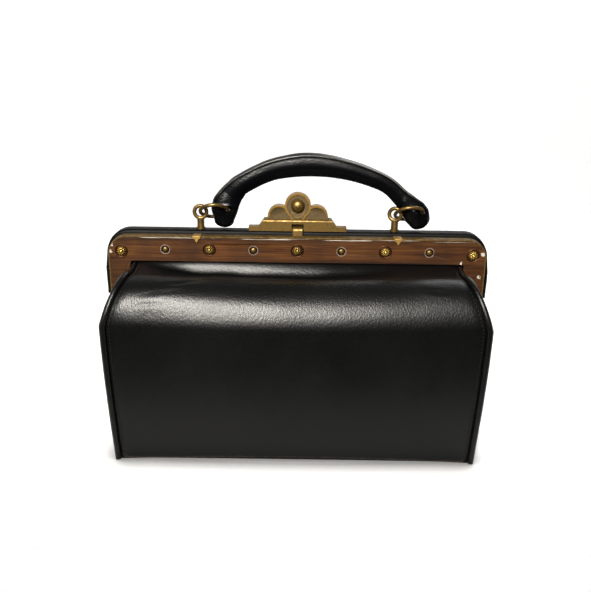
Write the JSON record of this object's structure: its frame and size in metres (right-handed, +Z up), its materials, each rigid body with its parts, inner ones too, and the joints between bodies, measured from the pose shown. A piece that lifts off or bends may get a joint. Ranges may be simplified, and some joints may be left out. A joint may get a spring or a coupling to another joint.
{
  "type": "doctor's bag",
  "caption": "Leather doctor's bag with a hinged wood-faced frame, scalloped brass lock with a sliding knob, and a rolled handle on brass rings.",
  "frame": {"origin": "middle of the base, on the floor", "axes": "+Z up, +X to the right seen from the front, the front with the wood plate faces -Y"},
  "size_m": [0.3338, 0.1512, 0.2515],
  "materials": {
    "body_leather": "glazed black calf, softly polished and creased",
    "welt_leather": "black piped leather, rubbed lighter along the ridge",
    "frame_leather": "black leather stretched over the frame, polished edges",
    "handle_leather": "rolled black leather, shiny from use",
    "lacquered_wood": "brown wood grain under lacquer, chipped at the corners",
    "aged_brass": "aged brass, bright on rubbed edges",
    "dark_bronze": "dark tarnished cups",
    "frame_steel": "plain bar steel",
    "fibre_board": "pressed fibre board"
  },
  "bodies": {
    "bag": {"base_panel": "body_leather", "front_panel": "body_leather", "front_shoulder": "body_leather", "rear_panel": "body_leather", "left_gusset": "body_leather", "right_gusset": "body_leather", "left_gusset_fold": "body_leather", "right_gusset_fold": "body_leather", "body_welts": "welt_leather", "shoulder_welts": "welt_leather", "base_board": "fibre_board", "rear_frame": "frame_steel", "rear_frame_cover": "frame_leather", "hinge_pins": "frame_steel", "left_eye_post": "aged_brass", "right_eye_post": "aged_brass", "lock_plate": "aged_brass", "lock_back": "aged_brass", "catch_spring": "frame_steel"},
    "front_frame": {"front_frame": "frame_steel", "front_plate": "lacquered_wood", "edge_trim": "aged_brass", "stud_cups": "dark_bronze", "studs": "aged_brass", "rivet_cups": "dark_bronze", "rivets": "aged_brass", "hasp": "aged_brass", "claws": "aged_brass"},
    "lock_knob": {"knob": "aged_brass", "catch_slide": "frame_steel"},
    "left_ring": {"left_ring": "aged_brass"},
    "handle": {"handle": "handle_leather"},
    "right_ring": {"right_ring": "aged_brass"}
  },
  "joints": [
    {"name": "frame_hinge", "type": "hinge", "parent": "bag", "child": "front_frame", "pos_m": [0.1528, 0, 0.118], "axis": [1, 0, 0], "range_deg": [0, 70], "deforming": ["front_shoulder", "shoulder_welts", "left_gusset_fold", "right_gusset_fold"]},
    {"name": "knob_slide", "type": "slide", "parent": "bag", "child": "lock_knob", "axis": [0, 0, -1], "range_m": [0, 0.0036], "stiffness_N_per_m": 600, "deforming": ["catch_spring"]},
    {"name": "left_ring_swing", "type": "hinge", "parent": "bag", "child": "left_ring", "pos_m": [-0.085, 0.0083, 0.1998], "axis": [0, -1, 0], "range_deg": [0, 165]},
    {"name": "handle_swing", "type": "hinge", "parent": "left_ring", "child": "handle", "pos_m": [-0.06107, 0.0083, 0.2017], "axis": [0, -1, 0], "range_deg": [-165, 0]},
    {"name": "right_ring_swing", "type": "hinge", "parent": "handle", "child": "right_ring", "pos_m": [0.10892, 0.0083, 0.2017], "axis": [0, -1, 0], "range_deg": [0, 165]}
  ],
  "couplings": [
    {"joint": "handle_swing", "follows": "left_ring_swing", "ratio": -1},
    {"joint": "right_ring_swing", "follows": "left_ring_swing", "ratio": 1}
  ]
}
